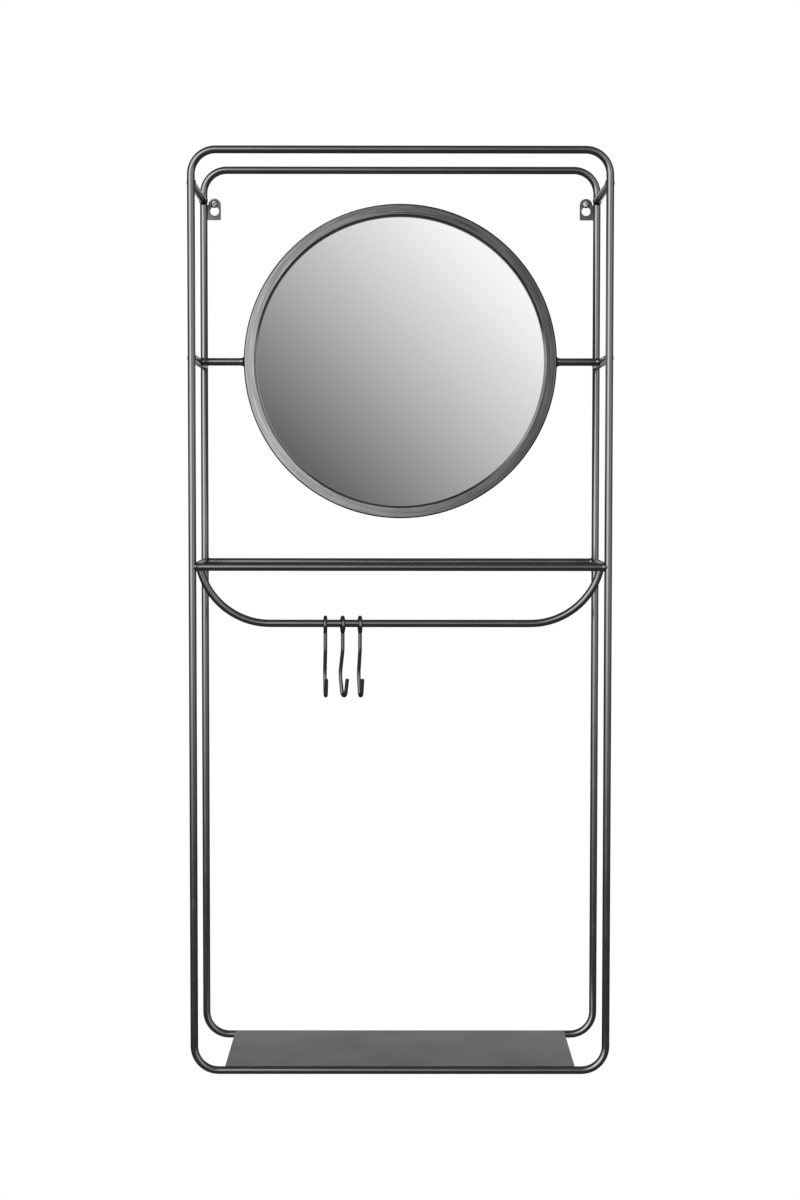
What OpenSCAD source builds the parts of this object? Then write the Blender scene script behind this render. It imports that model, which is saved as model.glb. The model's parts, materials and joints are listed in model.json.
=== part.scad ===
// Wall mirror on an open frame of bent rod, with a bottom shelf and three sliding hooks.
// Millimetres, +Z up, +X to the right as seen from the room, +Y into the wall.
// The origin is midway between the two keyholes, on the wall plane.

/* [Frame] */
// Overall width of the two rod rings
frame_w = 364; // [320:1:440]
// Overall height of the two rod rings
frame_h = 800; // [720:1:960]
// Overall depth over the two rod rings
frame_depth = 135; // [110:1:180]
// Diameter of the round rod
rod_d = 6.7; // [5:0.1:8]
// Radius of the ring corners, on the rod's centreline
bend_r = 21; // [16:0.5:30]
// How far a weld fillet stands proud of the rod
weld_flare = 0.8; // [0.4:0.1:1.2]
// Length of a weld fillet along the rod
weld_len = 2; // [1:0.5:4]
// Gap left between welded pieces
weld_gap = 0.05; // [0.02:0.01:0.1]
// Diameter of the thicker side bars that carry the mirror
mirror_bar_d = 8; // [6.7:0.1:9]
// How far the weld at the mirror stands proud of its arm
arm_flare = 2.3; // [1:0.1:3]
// Length of the weld at the mirror along its arm
arm_flare_len = 3.2; // [1:0.1:5]

/* [Levels below the top of the frame] */
// Depth of the keyhole centres below the top
hanger_drop = 40; // [36:0.5:60]
// Depth of the top side bars below the top
top_bar_drop = 31; // [28:0.5:44]
// Depth of the arms and the mirror's centre below the top
arm_drop = 180; // [160:1:190]
// Depth of the shelf rails below the top
shelf_rail_drop = 359; // [345:1:400]

/* [Bottom shelf] */
// Width of the sheet shelf
shelf_w = 304; // [240:1:312]
// Thickness of the sheet shelf
shelf_t = 1.2; // [0.8:0.1:3]

/* [Hook rail] */
// Drop of the rail's straight run below the shelf rails
hook_rail_drop = 52.5; // [40:0.5:58]
// Radius of the rail's bends, on the centreline
hook_rail_bend_r = 64; // [56:1:100]

/* [Keyhole plates] */
// Distance from the inner side of an upright to the centre of its keyhole
keyhole_inset = 6.3; // [6:0.1:9]
// Thickness of a plate
plate_t = 2; // [1.5:0.1:3]
// Half width of a plate, which is also the radius of its round top
plate_r = 5.75; // [5.5:0.05:6.2]
// Height of a plate above the keyhole's centre
plate_rise = 11.4; // [11:0.1:15]
// Depth of a plate below the keyhole's centre
plate_foot = 8; // [6:0.1:12]
// Radius of the plate's lower inner corner
plate_corner_r = 1.2; // [0.5:0.1:2]
// Diameter of the keyhole's round opening
keyhole_d = 8; // [7:0.1:9]
// Width of the keyhole's slot
keyslot_w = 3.3; // [3:0.1:5]
// Height of the slot's end above the keyhole's centre
keyslot_rise = 8; // [6:0.1:9]

/* [Mirror frame] */
// Outer diameter of the round mirror frame
mirror_od = 276; // [240:0.5:300]
// Depth of the mirror frame from front to back
mirror_depth = 15; // [13:0.5:24]
// Width of the frame's front face
mirror_face_w = 9; // [7:0.1:14]
// How far the face falls away from its inner to its outer edge
mirror_face_fall = 0.2; // [0.1:0.1:1.5]
// Width of the bevel at the inner edge of the face
mirror_bevel_w = 1.9; // [0.4:0.1:3]
// Depth of that bevel
mirror_bevel_t = 1.3; // [0.4:0.1:2]
// Rounding at the outer edge of the face
mirror_edge_r = 1; // [0.4:0.1:2]
// Thickness of the lip in front of the glass
mirror_lip_t = 5; // [3:0.1:6]
// Thickness of the frame's outer wall
mirror_wall_t = 3; // [2:0.1:5]

/* [Glass and backing] */
// Thickness of the mirror glass
glass_t = 3; // [2:0.1:5]
// Room round the edge of the glass
glass_gap = 0.5; // [0.3:0.1:1]
// Thickness of the backing board
board_t = 3; // [2:0.1:4]
// Room round the edge of the backing board
board_gap = 1; // [0.5:0.1:2]
// Number of clips that hold the board
clip_count = 6; // [3:1:12]
// Width of a clip along the wall
clip_w = 12; // [8:1:24]
// Reach of a clip over the board
clip_reach = 9; // [6:1:16]
// Thickness of a clip
clip_t = 1; // [0.6:0.1:1.5]

/* [Hooks] */
// Diameter of the hook wire
wire_d = 3.4; // [2.5:0.1:4]
// Inner diameter of the eye round the rail
eye_d = 9.5; // [9.5:0.1:12]
// Clearance between the rail and the eye where the hook hangs
hook_clearance = 0.3; // [0.2:0.05:0.6]
// Overall height of a hook
hook_h = 73; // [64:1:100]
// Angle at which the sloping stretches of the wire lean from plumb
hook_lean = 12; // [9:0.5:16]
// How far the hook's belly lies behind its shank
hook_belly = 4; // [3:0.1:6]
// Radius of the two gentle bends, on the wire's centreline
hook_bend_r = 26; // [18:1:32]
// Radius of the bend at the foot, on the wire's centreline
hook_foot_r = 3.3; // [2.5:0.1:6]
// Length of the straight stretch between the belly and the foot
hook_limb = 11; // [8:0.5:13]
// Height of the hook's tip above its lowest point
hook_tip_h = 17; // [12:0.5:22]
// Distance between neighbouring hooks
hook_pitch = 15.4; // [13:0.1:40]
// Distance of the middle hook from the centreline, to the left
hook_middle_left = 51.1; // [0:0.1:60]
// Turn of the left hook's eye on the rail
hook_1_eye_turn = 1; // [0:1:10]
// Turn of the left hook below its eye
hook_1_turn = 8; // [0:1:32]
// Turn of the middle hook's eye on the rail
hook_2_eye_turn = 8; // [0:1:10]
// Turn of the middle hook below its eye
hook_2_turn = 32; // [0:1:32]
// Turn of the right hook's eye on the rail
hook_3_eye_turn = 6; // [0:1:10]
// Turn of the right hook below its eye
hook_3_turn = 17; // [0:1:32]

/* [Hidden] */

// Smoothness of the round surfaces
$fn = 64;
// Steps in a weld fillet and in a rounded edge
fillet_steps = 4;
// Step to which a length is rounded where two pieces of one rod meet
fine_step = 0.01;
// How much thinner than its neighbour a stretch of wire is, and how far its end reaches into
// that neighbour, so that the stretches fuse
joint_step = 0.01;
joint_reach = 0.05;

gunmetal = [0.24, 0.24, 0.24];
face_grey = [0.42, 0.42, 0.42];
silver = [0.80, 0.82, 0.84];
board_brown = [0.45, 0.34, 0.24];
clip_grey = [0.60, 0.60, 0.60];

LEFT = -1;
RIGHT = 1;

rod_r = rod_d / 2;
mirror_bar_r = mirror_bar_d / 2;
wire_r = wire_d / 2;
run_r = wire_r - joint_step;
curve_r = run_r - joint_step;

// Centrelines of the two rings. The rear one stays off the wall by the weld fillets behind it.
half_w = frame_w / 2 - rod_r;
rear_y = -rod_r - weld_flare;
front_y = rear_y - (frame_depth - rod_d);
mid_y = (rear_y + front_y) / 2;
keyhole_x = half_w - rod_r - keyhole_inset;
top_z = hanger_drop - rod_r;
bottom_z = hanger_drop - frame_h + rod_r;

// Levels of what the rings carry
top_bar_z = hanger_drop - top_bar_drop;
mirror_z = hanger_drop - arm_drop;
shelf_rail_z = hanger_drop - shelf_rail_drop;
hook_rail_z = shelf_rail_z - hook_rail_drop;

// Each end of the hook rail is one bend, which rises to the axis of a side bar. Half the
// length of the straight run between the bends is rounded, so that they meet it exactly.
hook_rail_angle = acos(max(1 - hook_rail_drop / hook_rail_bend_r, 0));
bend_run = hook_rail_bend_r * sin(hook_rail_angle);
hook_rail_half = round((half_w - bend_run) / fine_step) * fine_step;

// Mirror frame: radii, and depths measured forward from its middle plane
mirror_r = mirror_od / 2;
wall_in_r = mirror_r - mirror_wall_t;
lip_r = mirror_r - mirror_face_w - mirror_bevel_w;
face_f = mirror_depth / 2;
glass_front_f = face_f - mirror_lip_t;
glass_back_f = glass_front_f - glass_t;
board_back_f = glass_back_f - board_t;
clip_back_f = weld_gap - face_f;
clip_out_r = wall_in_r - weld_gap;
clip_angle = 360 * clip_w / (2 * PI * wall_in_r);

// Hook, in its own plane, with x into the wall and y up from the rail's axis. The wire runs
// down from the eye, slopes back to the belly, slopes forward to the foot and rises to the tip.
eye_r = (eye_d + wire_d) / 2;
eye_sag = eye_r - rod_r - wire_r - hook_clearance;
lean_s = sin(hook_lean);
lean_c = cos(hook_lean);
hook_foot_z = eye_r + wire_r - eye_sag - hook_h;
foot_x = hook_belly - hook_bend_r * (1 - lean_c) - hook_limb * lean_s - hook_foot_r * lean_c;
foot_centre = [foot_x, hook_foot_z + wire_r + hook_foot_r];
limb_low = foot_centre + hook_foot_r * [lean_c, -lean_s];
limb_top = limb_low + hook_limb * [lean_s, lean_c];
belly_centre = limb_top + hook_bend_r * [-lean_c, lean_s];
slope_low = belly_centre + hook_bend_r * [lean_c, lean_s];
slope_len = (hook_belly - 2 * hook_bend_r * (1 - lean_c)) / lean_s;
slope_top = slope_low + slope_len * [-lean_s, lean_c];
shank_centre = slope_top + hook_bend_r * [lean_c, lean_s];
shank_low = shank_centre - [hook_bend_r, 0];
shank_len = -eye_sag - eye_r - shank_low[1];
tip_low = foot_centre - hook_foot_r * [lean_c, lean_s];
tip_len = (hook_foot_z + hook_tip_h - tip_low[1]) / lean_c;
tip_chamfer = wire_r / 3;

// One end of a rod's outline: the weld fillet that starts at distance seat from the end,
// where it stands flare proud of the common rod, and runs out to radius r
function fillet(r, seat, flare, run) = [
    for (i = [0 : fillet_steps])
        let (a = 90 * i / fillet_steps)
        [r + (rod_r + flare - r) * (1 - sin(a)), seat + run * (1 - cos(a))]
];

// A rod along +Z with a weld fillet at each end. Its ends reach seat_a and seat_b into
// what they are welded to, where the caller shapes them.
module welded_rod(
    length, seat_a, seat_b, r = rod_r,
    flare_a = weld_flare, flare_b = weld_flare, run_b = weld_len
) {
    start = flare_a > 0 ? fillet(r, seat_a, flare_a, weld_len) : [];
    finish = flare_b > 0 ? [for (p = fillet(r, seat_b, flare_b, run_b)) [p[0], length - p[1]]] : [];
    back = [for (i = [len(finish) - 1 : -1 : 0]) finish[i]];
    rotate_extrude()
        polygon(concat(
            [[0, 0], [rod_r, 0], [rod_r, seat_a]], start,
            back, [[rod_r, length - seat_b], [rod_r, length], [0, length]]
        ));
}

// A bend of round rod in the XZ plane, turning by angle from the direction start
module bend(radius, r, start, angle) {
    rotate([90, 0, 0])
        rotate([0, 0, start])
            rotate_extrude(angle = angle)
                translate([radius, 0])
                    circle(r = r);
}

// A closed ring of rod with rounded corners, in the XZ plane at depth y
module ring(y, r = rod_r) {
    run_x = half_w - bend_r;
    run_z = top_z - bottom_z - 2 * bend_r;
    for (side = [LEFT, RIGHT])
        translate([side * half_w, y, bottom_z + bend_r])
            cylinder(h = run_z, r = r);
    for (z = [bottom_z, top_z])
        translate([-run_x, y, z])
            rotate([0, 90, 0])
                cylinder(h = 2 * run_x, r = r);
    translate([run_x, y, top_z - bend_r])
        bend(bend_r, r, 0, 90);
    translate([-run_x, y, top_z - bend_r])
        bend(bend_r, r, 90, 90);
    translate([-run_x, y, bottom_z + bend_r])
        bend(bend_r, r, 180, 90);
    translate([run_x, y, bottom_z + bend_r])
        bend(bend_r, r, 270, 90);
}

// The space that both rings take, with the gap that welded pieces keep
module ring_seats() {
    ring(front_y, rod_r + weld_gap);
    ring(rear_y, rod_r + weld_gap);
}

// A bar that joins the front ring to the rear ring on one side
module side_bar(side, z, flare, r = rod_r) {
    color(gunmetal)
        difference() {
            translate([side * half_w, front_y, z])
                rotate([-90, 0, 0])
                    welded_rod(rear_y - front_y, rod_r, rod_r, r, flare, flare);
            ring_seats();
        }
}

// A thicker bar at the level of the mirror's centre, as wide as the other bars' welds
module mirror_side_bar(side) {
    side_bar(side, mirror_z, weld_flare, mirror_bar_r);
}

// The space that the two shelf side bars take, with the gap that welded pieces keep
module shelf_bar_seats() {
    for (side = [LEFT, RIGHT])
        translate([side * half_w, front_y, shelf_rail_z])
            rotate([-90, 0, 0])
                cylinder(h = rear_y - front_y, r = rod_r + weld_gap);
}

// A rail between the two uprights of one ring
module shelf_rail(y) {
    color(gunmetal)
        difference() {
            translate([-half_w, y, shelf_rail_z])
                rotate([0, 90, 0])
                    welded_rod(2 * half_w, rod_r, rod_r);
            ring(y, rod_r + weld_gap);
            shelf_bar_seats();
        }
}

// The bent rail that hangs from the two shelf side bars
module hook_rail() {
    color(gunmetal)
        difference() {
            union() {
                translate([-hook_rail_half, mid_y, hook_rail_z])
                    rotate([0, 90, 0])
                        cylinder(h = 2 * hook_rail_half, r = rod_r);
                hook_rail_end();
                mirror([1, 0, 0])
                    hook_rail_end();
            }
            shelf_bar_seats();
        }
}

// The right bend of the hook rail, up to the axis of a side bar
module hook_rail_end() {
    translate([hook_rail_half, mid_y, hook_rail_z + hook_rail_bend_r])
        bend(hook_rail_bend_r, rod_r, 270, hook_rail_angle);
}

// The sheet between the bottom rods of both rings. Its top is level with theirs, and its two
// long edges follow their round sides.
module bottom_shelf() {
    color(face_grey)
        difference() {
            translate([-shelf_w / 2, front_y, bottom_z + rod_r - shelf_t])
                cube([shelf_w, rear_y - front_y, shelf_t]);
            ring_seats();
        }
}

// Outline of the right plate round its keyhole, with x away from the centreline
module plate_outline() {
    reach = half_w - keyhole_x - rod_r / 2;
    difference() {
        union() {
            translate([0, plate_rise - plate_r])
                circle(r = plate_r);
            translate([-plate_r, plate_corner_r - plate_foot])
                square([plate_r + reach, plate_rise - plate_r - plate_corner_r + plate_foot]);
            translate([plate_corner_r - plate_r, -plate_foot])
                square([plate_r + reach - plate_corner_r, plate_foot]);
            translate([plate_corner_r - plate_r, plate_corner_r - plate_foot])
                circle(r = plate_corner_r);
        }
        circle(d = keyhole_d);
        translate([-keyslot_w / 2, 0])
            square([keyslot_w, keyslot_rise - keyslot_w / 2]);
        translate([0, keyslot_rise - keyslot_w / 2])
            circle(d = keyslot_w);
    }
}

// A plate with a keyhole, welded to the inner side of the rear ring's upright
module keyhole_plate(side) {
    color(face_grey)
        difference() {
            translate([side * keyhole_x, 0, 0])
                rotate([90, 0, 0])
                    linear_extrude(plate_t)
                        mirror([side == LEFT ? 1 : 0, 0])
                            plate_outline();
            ring(rear_y, rod_r + weld_gap);
        }
}

// An arm from a side bar to the mirror frame
module mirror_arm(side) {
    arm_len = half_w - mirror_r + rod_r;
    color(gunmetal)
        difference() {
            translate([side * half_w, mid_y, mirror_z])
                rotate([0, -side * 90, 0])
                    welded_rod(
                        arm_len, mirror_bar_r, rod_r,
                        flare_b = arm_flare, run_b = arm_flare_len
                    );
            translate([side * half_w, front_y, mirror_z])
                rotate([-90, 0, 0])
                    cylinder(h = rear_y - front_y, r = mirror_bar_r + weld_gap);
            translate([0, mid_y, mirror_z])
                rotate([90, 0, 0])
                    cylinder(h = mirror_depth, r = mirror_r + weld_gap, center = true);
        }
}

// Places a shape turned round the mirror's axis, with its +Z towards the room
module on_mirror_axis() {
    translate([0, mid_y, mirror_z])
        rotate([90, 0, 0])
            children();
}

// The frame's section is a lip in front of the glass and a wall round it
module mirror_frame() {
    edge_f = face_f - mirror_face_fall;
    rounding = [
        for (i = [0 : fillet_steps])
            let (a = 90 * i / fillet_steps)
            [mirror_r - mirror_edge_r * (1 - sin(a)), edge_f - mirror_edge_r * (1 - cos(a))]
    ];
    color(face_grey)
        on_mirror_axis()
            rotate_extrude()
                polygon(concat(
                    [
                        [lip_r, glass_front_f],
                        [lip_r, face_f - mirror_bevel_t],
                        [lip_r + mirror_bevel_w, face_f]
                    ],
                    rounding,
                    [
                        [mirror_r, -face_f],
                        [wall_in_r, -face_f],
                        [wall_in_r, glass_front_f]
                    ]
                ));
}

module mirror_glass() {
    color(silver)
        on_mirror_axis()
            translate([0, 0, glass_back_f])
                cylinder(h = glass_t, r = wall_in_r - glass_gap);
}

module mirror_backing() {
    color(board_brown)
        on_mirror_axis()
            translate([0, 0, board_back_f])
                cylinder(h = board_t, r = wall_in_r - board_gap);
}

// Folded clips: one leg along the wall, the other over the board
module backing_clips() {
    color(clip_grey)
        on_mirror_axis()
            for (i = [0 : clip_count - 1])
                rotate([0, 0, (i + 0.5) * 360 / clip_count - clip_angle / 2])
                    rotate_extrude(angle = clip_angle)
                        polygon([
                            [clip_out_r - clip_reach, board_back_f],
                            [clip_out_r, board_back_f],
                            [clip_out_r, clip_back_f],
                            [clip_out_r - clip_t, clip_back_f],
                            [clip_out_r - clip_t, board_back_f - clip_t],
                            [clip_out_r - clip_reach, board_back_f - clip_t]
                        ]);
}

// Turns an XY shape into the hook's own plane, with its x into the wall and its y up
module in_hook_plane() {
    rotate([90, 0, 90])
        children();
}

// A straight stretch of wire in the hook's plane, leaning by angle from straight up
module wire_run(start, angle, length) {
    translate(start)
        rotate([0, 0, angle])
            rotate([-90, 0, 0])
                cylinder(h = length, r = run_r);
}

// A bend of wire in the hook's plane, from the direction start on through angle. Both its ends
// reach a little way into the straight stretches.
module wire_bend(centre, radius, start, angle) {
    reach_angle = joint_reach / radius * 180 / PI;
    translate(centre)
        rotate([0, 0, start - reach_angle])
            rotate_extrude(angle = angle + 2 * reach_angle)
                translate([radius, 0])
                    circle(r = curve_r);
}

// The closed eye of a hook, hanging round the rail's axis
module hook_eye() {
    in_hook_plane()
        translate([0, -eye_sag])
            rotate_extrude()
                translate([eye_r, 0])
                    circle(r = wire_r);
}

// The round wire of a hook below its eye, open towards the room
module hook_wire() {
    in_hook_plane() {
        wire_run(shank_low, 0, shank_len);
        wire_bend(shank_centre, hook_bend_r, 180, hook_lean);
        wire_run(slope_low, hook_lean, slope_len);
        wire_bend(belly_centre, hook_bend_r, -hook_lean, 2 * hook_lean);
        wire_run(limb_low, -hook_lean, hook_limb);
        wire_bend(foot_centre, hook_foot_r, 180 + hook_lean, 180 - 2 * hook_lean);
        translate(tip_low)
            rotate([0, 0, hook_lean])
                rotate([-90, 0, 0]) {
                    cylinder(h = tip_len - tip_chamfer, r = run_r);
                    translate([0, 0, tip_len - tip_chamfer])
                        cylinder(h = tip_chamfer, r1 = run_r, r2 = run_r - tip_chamfer);
                }
    }
}

// The hook at a place counted from the middle one. Its wire is twisted under the eye.
module hook(place, eye_turn, turn) {
    color(gunmetal)
        translate([place * hook_pitch - hook_middle_left, mid_y, hook_rail_z]) {
            rotate([0, 0, eye_turn])
                hook_eye();
            rotate([0, 0, turn])
                hook_wire();
        }
}

module front_ring() {
    color(gunmetal)
        ring(front_y);
}

module rear_ring() {
    color(gunmetal)
        ring(rear_y);
}

front_ring();
rear_ring();
side_bar(LEFT, top_bar_z, weld_flare);  // top_side_bar_left
side_bar(RIGHT, top_bar_z, weld_flare);  // top_side_bar_right
mirror_side_bar(LEFT);  // mirror_side_bar_left
mirror_side_bar(RIGHT);  // mirror_side_bar_right
side_bar(LEFT, shelf_rail_z, 0);  // shelf_side_bar_left
side_bar(RIGHT, shelf_rail_z, 0);  // shelf_side_bar_right
shelf_rail(front_y);  // shelf_front_rail
shelf_rail(rear_y);  // shelf_rear_rail
hook_rail();
bottom_shelf();
keyhole_plate(LEFT);  // keyhole_plate_left
keyhole_plate(RIGHT);  // keyhole_plate_right
mirror_arm(LEFT);  // mirror_arm_left
mirror_arm(RIGHT);  // mirror_arm_right
mirror_frame();
mirror_glass();
mirror_backing();
backing_clips();
hook(-1, hook_1_eye_turn, hook_1_turn);  // hook_1
hook(0, hook_2_eye_turn, hook_2_turn);  // hook_2
hook(1, hook_3_eye_turn, hook_3_turn);  // hook_3
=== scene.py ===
import json
import math
from functools import reduce

import bmesh
import bpy
from mathutils import Matrix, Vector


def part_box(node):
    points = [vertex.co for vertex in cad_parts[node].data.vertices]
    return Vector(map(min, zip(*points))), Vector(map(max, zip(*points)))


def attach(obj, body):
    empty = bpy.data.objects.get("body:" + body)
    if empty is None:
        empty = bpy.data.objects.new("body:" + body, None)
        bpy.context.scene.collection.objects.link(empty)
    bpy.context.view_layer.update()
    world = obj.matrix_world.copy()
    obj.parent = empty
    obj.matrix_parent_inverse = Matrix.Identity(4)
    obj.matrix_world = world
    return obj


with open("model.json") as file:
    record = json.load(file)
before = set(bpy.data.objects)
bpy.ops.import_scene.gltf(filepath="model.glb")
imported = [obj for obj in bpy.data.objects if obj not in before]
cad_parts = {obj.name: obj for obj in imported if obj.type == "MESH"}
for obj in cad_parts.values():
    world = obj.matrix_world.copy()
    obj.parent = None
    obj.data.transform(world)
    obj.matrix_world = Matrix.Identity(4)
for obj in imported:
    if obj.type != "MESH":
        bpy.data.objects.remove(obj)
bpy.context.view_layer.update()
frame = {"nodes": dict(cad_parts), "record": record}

# The photograph's camera, in the part's frame
CAMERA_PLACE = (-0.00316, -2.06409, -0.24607)
CAMERA_PITCH_DEG = -2.999
CAMERA_YAW_DEG = -0.086
CAMERA_ROLL_DEG = -0.041
CAMERA_LENS_MM = 67.47
CAMERA_CLIP = (0.05, 50.0)
SENSOR_MM = 36.0

# The studio that polished pieces reflect, in degrees. A bearing of 0 is straight out of the wall
# and positive to the right, and a height of 0 is level. Each pair is a fade, from where the light
# is at its lowest to where it is full.
# A box of light in front has a strength, the fade of its left edge and that of its right edge.
LEFT_LIGHT = (1.65, (-84, -35), (7, -15))
RIGHT_LIGHT = (0.5, (-5, 28), (105, 30))
# With height the right edges lean to the left, by so many degrees of bearing for each degree
# above a middle height, and only near level
LIGHT_LEAN = 0.35
LEAN_MIDDLE = 1.5
LEAN_FADE = (16, 10)
# A glow fills the front between the boxes, and fades towards the wall on either side. The boxes
# and the glow come up from below and fall off overhead.
ROOM_GLOW = 0.10
ROOM_FADE = (125, 100)
FRONT_RISE = (-11, -0.5)
FRONT_FALL = (54, 30)
# The floor glows in front, under the boxes
FLOOR_GLOW = 0.05
# The light behind the part, which fades in by degrees from straight out of the wall on either side
BACK_LIGHT = 0.92
BACK_FADE = (160, 171)
BACK_RISE = (-20, -4)
BACK_FALL = (14.7, 8.4)
# A faint glow lies all round, stronger overhead and towards the back
FAINT_GLOW = 0.02
OVER_GLOW = 0.10
OVER_RISE = (35, 75)
FAR_GLOW = 0.06
FAR_RISE = (100, 135)
# The soft gradient that the mirror shows, over slopes of the line of sight across and upward. It
# climbs to the upper right, steeply at first, and its shades are those of the screen.
GRADIENT_CENTRE = (0.0, 0.053)
GRADIENT_FADE = (0.080, 0.069)
GRADIENT_MIDDLE = 0.735
GRADIENT_SLOPE = 3.38
GRADIENT_BEND = 5.05
GRADIENT_RANGE = (0.35, 0.985)
SCREEN_GAMMA = 2.2
# The even light that unpolished pieces get, the colour of all this light, and the backdrop's
DIFFUSE_GLOW = 0.8
LIGHT_COLOUR = (1, 0.998, 0.995, 1)
BACKDROP_COLOUR = (1, 1, 1, 1)

# The floor fades from its shade under the part to the white of the backdrop
FLOOR_DROP = 1.74
FLOOR_REACH = 9.0
FLOOR_FADE = (0.4, 2.3)
FLOOR_SHADE = 0.86

# Base colours, and the tints of reflections at a grazing angle
ROD_COLOUR = (0.335, 0.33, 0.33)
WIRE_COLOUR = (0.245, 0.245, 0.245)
ROD_EDGE = (0.25, 0.25, 0.26)
SHEET_COLOUR = (0.32, 0.315, 0.303)
RING_COLOUR = (0.365, 0.363, 0.36)
RING_EDGE = (0.3, 0.3, 0.3)
# Painted shade: the near-black of the mirror frame's outer rim and side wall
PAINTED_RIM_SHADE = (0.045, 0.045, 0.045, 1)
SILVER_COLOUR = (0.945, 0.95, 0.948)
BOARD_COLOUR = (0.20, 0.115, 0.06)
ZINC_COLOUR = (0.62, 0.63, 0.65)
ROD_ROUGHNESS = 0.13
WIRE_ROUGHNESS = 0.28
# How far inside the mirror frame's outer edge the painted near-black rim shade starts and is
# complete
RIM_SHADE_FADE = (0.0014, 0.0008)
# How fast the brushing changes once round the ring, and in each metre across it
STREAKS_ROUND = 3.0
STREAKS_ACROSS = 600.0

# The height at which a screw sits in the slot of its keyhole
SLOT_END = 0.00635
# Each screw's name and side, and the degrees by which its recess is turned and its head leans
SCREWS = (("wall_screw_left", -1, 0, 0), ("wall_screw_right", 1, 35, -4))
# Screw outline as radius and distance from the wall, from the shank's end to the head's middle
SCREW_OUTLINE = (
    (0, 0.0005), (0.0015, 0.0005), (0.0015, 0.0021), (0.0033, 0.0021), (0.0035, 0.0024),
    (0.0031, 0.0030), (0.0027, 0.0036), (0.0024, 0.0039), (0.0014, 0.0040), (0, 0.0041),
)
# The recess at its floor and above the head, each as distance from the wall and half length
RECESS_ENDS = ((0.0026, 0.0009), (0.0048, 0.0018))
RECESS_HALF_WIDTH = 0.00045
SHARP_EDGE_DEG = 35
# The faces of a box whose first four corners go round its floor and the others round its top
BOX_FACES = ((0, 1, 2, 3), (7, 6, 5, 4), (0, 4, 5, 1), (1, 5, 6, 2), (2, 6, 7, 3), (3, 7, 4, 0))


class Graph:
    """Adds nodes to one node tree and links them."""

    def __init__(self, tree):
        self.tree = tree

    def feed(self, socket, value):
        if isinstance(value, bpy.types.NodeSocket):
            self.tree.links.new(value, socket)
        else:
            socket.default_value = value

    def add(self, kind, inputs=None, **settings):
        node = self.tree.nodes.new(kind)
        for name, value in settings.items():
            setattr(node, name, value)
        for socket, value in (inputs or {}).items():
            self.feed(node.inputs[socket], value)
        return node

    def math(self, operation, first, second=0.0):
        return self.add("ShaderNodeMath", {0: first, 1: second}, operation=operation).outputs[0]

    def total(self, *values):
        return reduce(lambda first, second: self.math("ADD", first, second), values)

    def product(self, *values):
        return reduce(lambda first, second: self.math("MULTIPLY", first, second), values)

    def vector(self, operation, first, second=(0, 0, 0), output=0):
        node = self.add("ShaderNodeVectorMath", {0: first, 1: second}, operation=operation)
        return node.outputs[output]

    def parts(self, vector):
        return self.add("ShaderNodeSeparateXYZ", {0: vector}).outputs

    def scale(self, value, start, end, low=0.0, high=1.0, **settings):
        """Goes evenly from low to high as the value goes from start to end."""
        values = {"Value": value, "From Min": start, "From Max": end, "To Min": low, "To Max": high}
        return self.add("ShaderNodeMapRange", values, **settings).outputs[0]

    def step(self, value, start, end, low=0.0, high=1.0):
        """Goes smoothly from low to high as the value goes from start to end."""
        return self.scale(value, start, end, low, high, interpolation_type="SMOOTHSTEP")

    def window(self, value, rise, fall):
        """1 between two fades and 0 outside them."""
        return self.product(self.step(value, *rise), self.step(value, *fall))

    def noise(self, vector, scale, detail=2.0, roughness=0.5):
        values = {"Vector": vector, "Scale": scale, "Detail": detail, "Roughness": roughness}
        return self.add("ShaderNodeTexNoise", values).outputs[0]


def make_camera():
    data = bpy.data.cameras.new("camera")
    data.lens = CAMERA_LENS_MM
    data.sensor_width = SENSOR_MM
    data.clip_start, data.clip_end = CAMERA_CLIP
    camera = bpy.data.objects.new("camera", data)
    bpy.context.scene.collection.objects.link(camera)
    turn = (
        Matrix.Rotation(math.radians(CAMERA_YAW_DEG), 4, "Z")
        @ Matrix.Rotation(math.radians(CAMERA_PITCH_DEG), 4, "X")
        @ Matrix.Rotation(math.radians(CAMERA_ROLL_DEG), 4, "Y")
        @ Matrix.Rotation(math.radians(90), 4, "X")
    )
    camera.matrix_world = Matrix.Translation(CAMERA_PLACE) @ turn
    bpy.context.scene.camera = camera


def front_light(graph, bearing, away, rise):
    """The boxes of light in front, with the glow between them and the floor's glow below."""
    height = graph.math("SUBTRACT", rise, LEAN_MIDDLE)
    near_level = graph.step(graph.math("ABSOLUTE", rise), *LEAN_FADE)
    leaned = graph.total(bearing, graph.product(height, LIGHT_LEAN, near_level))
    light = graph.step(away, *ROOM_FADE, high=ROOM_GLOW)
    for strength, left, right in (LEFT_LIGHT, RIGHT_LIGHT):
        box = graph.product(graph.step(bearing, *left), graph.step(leaned, *right, high=strength))
        light = graph.total(light, box)
    light = graph.product(light, graph.window(rise, FRONT_RISE, FRONT_FALL))
    floor = graph.step(away, *ROOM_FADE, high=FLOOR_GLOW)
    under = graph.step(rise, *FRONT_RISE, low=1.0, high=0.0)
    return graph.total(light, graph.product(floor, under))


def back_light(graph, away, rise):
    """The light behind the part."""
    height = graph.window(rise, BACK_RISE, BACK_FALL)
    return graph.product(graph.step(away, *BACK_FADE), height, BACK_LIGHT)


def faint_light(graph, away, rise):
    """The faint glow all round, stronger overhead and behind."""
    over = graph.step(rise, *OVER_RISE, high=OVER_GLOW)
    far = graph.step(away, *FAR_RISE, high=FAR_GLOW)
    return graph.total(graph.math("MAXIMUM", over, far), FAINT_GLOW)


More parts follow.
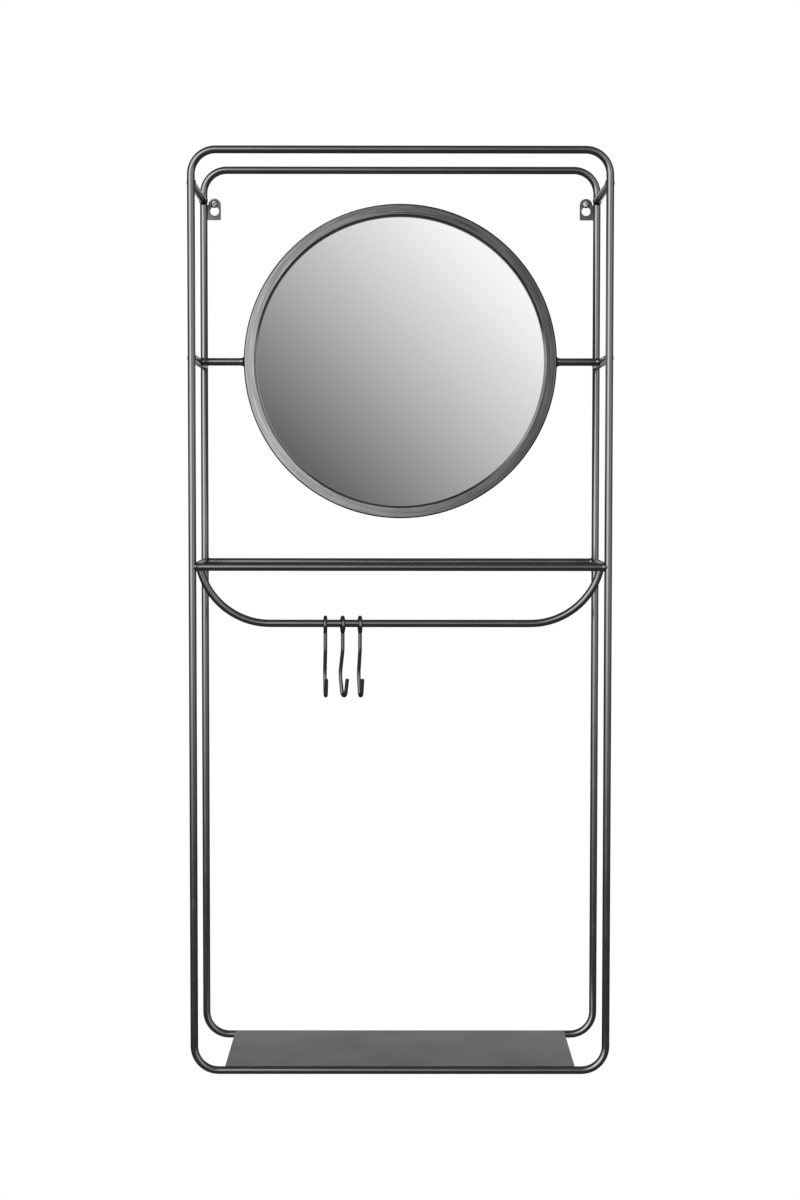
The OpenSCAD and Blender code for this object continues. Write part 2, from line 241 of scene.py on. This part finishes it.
def mirror_gradient(graph, across, up):
    """Brightness of the mirror's gradient, from a line of sight's slopes from its centre."""
    climb = graph.total(across, up)
    slope = graph.math("SUBTRACT", GRADIENT_SLOPE, graph.product(climb, GRADIENT_BEND))
    shade = graph.total(graph.product(climb, slope), GRADIENT_MIDDLE)
    darkest, brightest = GRADIENT_RANGE
    shade = graph.math("MINIMUM", graph.math("MAXIMUM", shade, darkest), brightest)
    return graph.math("POWER", shade, SCREEN_GAMMA)


def studio_light(graph):
    """How bright the studio is in each direction, as the polished pieces reflect it."""
    direction = graph.add("ShaderNodeTexCoord").outputs["Generated"]
    across, depth, height = graph.parts(direction)
    forward = graph.product(depth, -1.0)
    bearing = graph.math("DEGREES", graph.math("ARCTAN2", across, forward))
    rise = graph.math("DEGREES", graph.math("ARCSINE", height))
    away = graph.math("ABSOLUTE", bearing)
    front = front_light(graph, bearing, away, rise)
    room = graph.total(front, back_light(graph, away, rise), faint_light(graph, away, rise))

    slope_x = graph.math("SUBTRACT", graph.math("DIVIDE", across, forward), GRADIENT_CENTRE[0])
    slope_z = graph.math("SUBTRACT", graph.math("DIVIDE", height, forward), GRADIENT_CENTRE[1])
    squares = graph.total(graph.product(slope_x, slope_x), graph.product(slope_z, slope_z))
    inside = graph.step(graph.math("SQRT", squares), *GRADIENT_FADE)
    facing = graph.product(inside, graph.math("GREATER_THAN", forward, 0.0))
    gradient = mirror_gradient(graph, slope_x, slope_z)
    return graph.add("ShaderNodeMix", {0: facing, 2: room, 3: gradient}).outputs[0]


def background(graph, strength):
    values = {"Color": LIGHT_COLOUR, "Strength": strength}
    return graph.add("ShaderNodeBackground", values).outputs[0]


def make_world():
    """Even light for unpolished pieces, the studio for reflections, and a white backdrop."""
    scene = bpy.context.scene
    scene.view_settings.view_transform = "Standard"
    world = bpy.data.worlds.new("studio")
    scene.world = world
    world.use_nodes = True
    graph = Graph(world.node_tree)
    backdrop = world.node_tree.nodes["Background"]
    backdrop.inputs["Color"].default_value = BACKDROP_COLOUR
    even = background(graph, DIFFUSE_GLOW)
    studio = background(graph, studio_light(graph))
    ray = graph.add("ShaderNodeLightPath").outputs
    room = graph.add("ShaderNodeMixShader", {0: ray["Is Glossy Ray"], 1: even, 2: studio})
    inputs = {0: ray["Is Camera Ray"], 1: room.outputs[0], 2: backdrop.outputs[0]}
    seen = graph.add("ShaderNodeMixShader", inputs)
    graph.feed(world.node_tree.nodes["World Output"].inputs["Surface"], seen.outputs[0])


def make_floor():
    """A pale floor, which fades into the white backdrop."""
    sides = (-FLOOR_REACH, FLOOR_REACH)
    corners = [(x, y, -FLOOR_DROP) for x in sides for y in sides]
    mesh = bpy.data.meshes.new("floor")
    mesh.from_pydata(corners, [], [(0, 2, 3, 1)])
    floor = bpy.data.objects.new("floor", mesh)
    bpy.context.scene.collection.objects.link(floor)
    material = bpy.data.materials.new("floor")
    material.use_nodes = True
    material.node_tree.nodes.clear()
    graph = Graph(material.node_tree)
    place = graph.add("ShaderNodeTexCoord").outputs["Object"]
    far = graph.vector("LENGTH", graph.vector("MULTIPLY", place, (1, 1, 0)), output="Value")
    shine = graph.step(far, *FLOOR_FADE, low=FLOOR_SHADE)
    emission = graph.add("ShaderNodeEmission", {"Strength": shine})
    output = graph.add("ShaderNodeOutputMaterial")
    graph.feed(output.inputs["Surface"], emission.outputs[0])
    mesh.materials.append(material)
    floor.visible_glossy = False
    floor.visible_diffuse = False


def new_material(name, metallic=1.0, edge=(1.0, 1.0, 1.0)):
    """A material, its graph, its shader's inputs and its object coordinates."""
    material = bpy.data.materials.new(name)
    material.use_nodes = True
    graph = Graph(material.node_tree)
    surface = material.node_tree.nodes["Principled BSDF"].inputs
    surface["Metallic"].default_value = metallic
    surface["Specular Tint"].default_value = edge + (1,)
    place = graph.add("ShaderNodeTexCoord").outputs["Object"]
    return material, graph, surface, place


def blend(graph, change, first, second):
    """From the first colour to the second as change goes from 0 to 1."""
    return graph.add("ShaderNodeMix", {0: change, 6: first, 7: second}, data_type="RGBA").outputs[2]


def tint(graph, colour, change, low, high):
    """From low to high times a colour as change goes from 0 to 1."""
    dark = tuple(low * part for part in colour) + (1,)
    light = tuple(high * part for part in colour) + (1,)
    return blend(graph, change, dark, light)


def bump(graph, height, depth_mm, strength):
    values = {"Height": height, "Distance": depth_mm / 1000, "Strength": strength}
    return graph.add("ShaderNodeBump", values).outputs[0]


def polished_rod(name, colour, roughness):
    """Dark plating on drawn rod: faint clouds of polish, fine grain and a few smudges."""
    material, graph, surface, place = new_material(name, edge=ROD_EDGE)
    cloud = graph.noise(place, scale=28.0, detail=3.0)
    grain = graph.noise(place, scale=1500.0, detail=3.0, roughness=0.6)
    smudge = graph.step(graph.noise(place, scale=60.0, detail=4.0, roughness=0.65), 0.55, 0.75)
    mixed = graph.total(graph.product(cloud, 0.8), graph.product(grain, 0.2))
    graph.feed(surface["Base Color"], tint(graph, colour, mixed, low=0.92, high=1.08))
    clouded = graph.scale(cloud, 0.3, 0.7, low=roughness - 0.03, high=roughness + 0.03)
    rough = graph.total(clouded, graph.product(smudge, 0.05), graph.product(grain, 0.03))
    graph.feed(surface["Roughness"], rough)
    graph.feed(surface["Normal"], bump(graph, grain, depth_mm=0.002, strength=0.3))
    return material


def sheet_metal():
    """Dark plated sheet, satin, with rolling marks along its length."""
    material, graph, surface, place = new_material("dark_sheet")
    stretched = graph.vector("MULTIPLY", place, (0.04, 1, 1))
    rolled = graph.noise(stretched, scale=1400.0, detail=3.0, roughness=0.6)
    cloud = graph.noise(place, scale=18.0, detail=3.0)
    graph.feed(surface["Base Color"], tint(graph, SHEET_COLOUR, cloud, low=0.90, high=1.10))
    graph.feed(surface["Roughness"], graph.scale(cloud, 0.3, 0.7, low=0.17, high=0.23))
    graph.feed(surface["Normal"], bump(graph, rolled, depth_mm=0.003, strength=0.6))
    return material


def brushed_ring():
    """Plated steel brushed round the mirror's axis, with painted shade: a near-black rim at its
    outer edge.
    """
    material, graph, surface, place = new_material("brushed_face", edge=RING_EDGE)
    low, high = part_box("mirror_frame")
    centre = tuple((a + b) / 2 for a, b in zip(low, high))
    rim = (high[0] - low[0]) / 2
    x, y, z = graph.parts(graph.vector("SUBTRACT", place, centre))
    flat = graph.add("ShaderNodeCombineXYZ", {0: x, 1: 0.0, 2: z}).outputs[0]
    radius = graph.vector("LENGTH", flat, output="Value")
    turn_x, _, turn_z = graph.parts(graph.vector("NORMALIZE", flat))
    streaks = graph.add("ShaderNodeCombineXYZ", {
        0: graph.product(turn_x, STREAKS_ROUND),
        1: graph.product(graph.total(radius, y), STREAKS_ACROSS),
        2: graph.product(turn_z, STREAKS_ROUND),
    }).outputs[0]
    brush = graph.scale(graph.noise(streaks, scale=1.0, detail=3.0, roughness=0.7), 0.32, 0.68)
    cloud = graph.noise(place, scale=22.0, detail=3.0)
    brushed = tint(graph, RING_COLOUR, brush, low=0.60, high=1.40)
    # The outer rim and side wall are painted near-black, painted shade where the frame's side lies
    # in shade
    rim_shade = graph.step(radius, *(rim - inset for inset in RIM_SHADE_FADE))
    graph.feed(surface["Base Color"], blend(graph, rim_shade, brushed, PAINTED_RIM_SHADE))
    rough = graph.scale(brush, 0.0, 1.0, low=0.08, high=0.12)
    graph.feed(surface["Roughness"], graph.total(rough, graph.product(cloud, 0.02)))
    surface["Anisotropic"].default_value = 0.3
    tangent = graph.add("ShaderNodeTangent", direction_type="RADIAL", axis="Y")
    graph.feed(surface["Tangent"], tangent.outputs[0])
    graph.feed(surface["Normal"], bump(graph, brush, depth_mm=0.003, strength=0.5))
    return material


def silvered_glass():
    """Mirror glass: the silvering under a faint film of dust."""
    material, graph, surface, place = new_material("mirror_glass")
    dust = graph.noise(place, scale=45.0, detail=5.0, roughness=0.7)
    graph.feed(surface["Base Color"], tint(graph, SILVER_COLOUR, dust, low=0.992, high=1.0))
    graph.feed(surface["Roughness"], graph.scale(dust, 0.3, 0.8, low=0.0, high=0.02))
    return material


def hardboard():
    """Pressed fibre board with short fibres and pale flecks."""
    material, graph, surface, place = new_material("backing_board", metallic=0.0)
    stretched = graph.vector("MULTIPLY", place, (1, 1, 0.35))
    fibres = graph.noise(stretched, scale=900.0, detail=4.0, roughness=0.7)
    cloud = graph.noise(place, scale=14.0, detail=3.0)
    mixed = graph.total(graph.product(fibres, 0.7), graph.product(cloud, 0.3))
    fleck = graph.step(mixed, 0.35, 0.65)
    graph.feed(surface["Base Color"], tint(graph, BOARD_COLOUR, fleck, low=0.65, high=1.35))
    graph.feed(surface["Roughness"], graph.scale(fibres, 0.3, 0.7, low=0.70, high=0.88))
    graph.feed(surface["Normal"], bump(graph, fibres, depth_mm=0.08, strength=0.6))
    return material


def zinc():
    """Zinc-plated spring steel with a faint crystal pattern."""
    material, graph, surface, place = new_material("clip_steel")
    cells = graph.add("ShaderNodeTexVoronoi", {"Vector": place, "Scale": 420.0})
    shade = graph.parts(cells.outputs["Color"])[0]
    grain = graph.noise(place, scale=1200.0)
    graph.feed(surface["Base Color"], tint(graph, ZINC_COLOUR, shade, low=0.86, high=1.08))
    graph.feed(surface["Roughness"], graph.scale(shade, 0.0, 1.0, low=0.18, high=0.28))
    graph.feed(surface["Normal"], bump(graph, grain, depth_mm=0.005, strength=0.5))
    return material


def finished_mesh(mesh, name):
    """The mesh's data, with its faces turned outward."""
    bmesh.ops.recalc_face_normals(mesh, faces=mesh.faces)
    data = bpy.data.meshes.new(name)
    mesh.to_mesh(data)
    mesh.free()
    return data


def turned(name, outline, sides=32):
    """Mesh of an outline of (radius, distance) points turned round the Y axis, out of the wall."""
    mesh = bmesh.new()
    turns = [2 * math.pi * side / sides for side in range(sides)]
    circle = [(math.cos(turn), math.sin(turn)) for turn in turns]
    rings = []
    for radius, out in outline:
        if radius == 0:
            ring = [mesh.verts.new((0, -out, 0))] * sides
        else:
            ring = [mesh.verts.new((radius * x, -out, radius * z)) for x, z in circle]
        rings.append(ring)
    for near, far in zip(rings, rings[1:]):
        for i in range(sides):
            corners = [near[i], near[(i + 1) % sides], far[(i + 1) % sides], far[i]]
            mesh.faces.new(list(dict.fromkeys(corners)))
    return finished_mesh(mesh, name)


def cross_cutter(name):
    """Two crossed wedges, the recess of a cross-head screw."""
    mesh = bmesh.new()
    for upright in (False, True):
        corners = []
        for out, half in RECESS_ENDS:
            for end, edge in ((-1, -1), (1, -1), (1, 1), (-1, 1)):
                along, across = end * half, edge * RECESS_HALF_WIDTH
                x, z = (-across, along) if upright else (along, across)
                corners.append(mesh.verts.new((x, -out, z)))
        for face in BOX_FACES:
            mesh.faces.new([corners[i] for i in face])
    return finished_mesh(mesh, name)


def screw_mesh(material):
    """A cross-head screw on the Y axis, out of the wall."""
    scene = bpy.context.scene
    cutter = bpy.data.objects.new("cutter", cross_cutter("cutter"))
    scene.collection.objects.link(cutter)
    blank = bpy.data.objects.new("screw_blank", turned("screw_blank", SCREW_OUTLINE))
    scene.collection.objects.link(blank)
    cut = blank.modifiers.new("recess", "BOOLEAN")
    cut.operation = "DIFFERENCE"
    cut.solver = "EXACT"
    cut.use_self = True
    cut.object = cutter
    shaped = blank.evaluated_get(bpy.context.evaluated_depsgraph_get())
    made = bpy.data.meshes.new_from_object(shaped)
    for helper in (blank, cutter):
        bpy.data.objects.remove(helper)
    made.materials.clear()
    made.materials.append(material)
    for face in made.polygons:
        face.use_smooth = True
    made.set_sharp_from_angle(angle=math.radians(SHARP_EDGE_DEG))
    return made


def wall_screws(material):
    """The two cross-head screws in the ends of the keyhole slots."""
    made = screw_mesh(material)
    keyholes = next(mount for mount in frame["record"]["mounts"] if mount["name"] == "wall_keyholes")
    keyhole_x = keyholes["dims"]["spacing_x_mm"] / 2000
    for name, side, twist, tilt in SCREWS:
        screw = bpy.data.objects.new(name, made.copy())
        bpy.context.scene.collection.objects.link(screw)
        screw.matrix_world = (
            Matrix.Translation((side * keyhole_x, 0, SLOT_END))
            @ Matrix.Rotation(math.radians(tilt), 4, "Z")
            @ Matrix.Rotation(math.radians(twist), 4, "Y")
        )
        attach(screw, "frame")


def dress_nodes():
    """Gives every CAD node the material of its slot."""
    materials = {
        "gunmetal_rod": polished_rod("gunmetal_rod", ROD_COLOUR, ROD_ROUGHNESS),
        "hook_wire": polished_rod("hook_wire", WIRE_COLOUR, WIRE_ROUGHNESS),
        "dark_sheet": sheet_metal(),
        "brushed_face": brushed_ring(),
        "mirror_glass": silvered_glass(),
        "backing_board": hardboard(),
        "clip_steel": zinc(),
    }
    for part in frame["record"]["subparts"]:
        mesh = frame["nodes"][part["node"]].data
        mesh.materials.clear()
        mesh.materials.append(materials[part["material_slot"]])
    return materials


make_camera()
make_world()
make_floor()
wall_screws(dress_nodes()["clip_steel"])
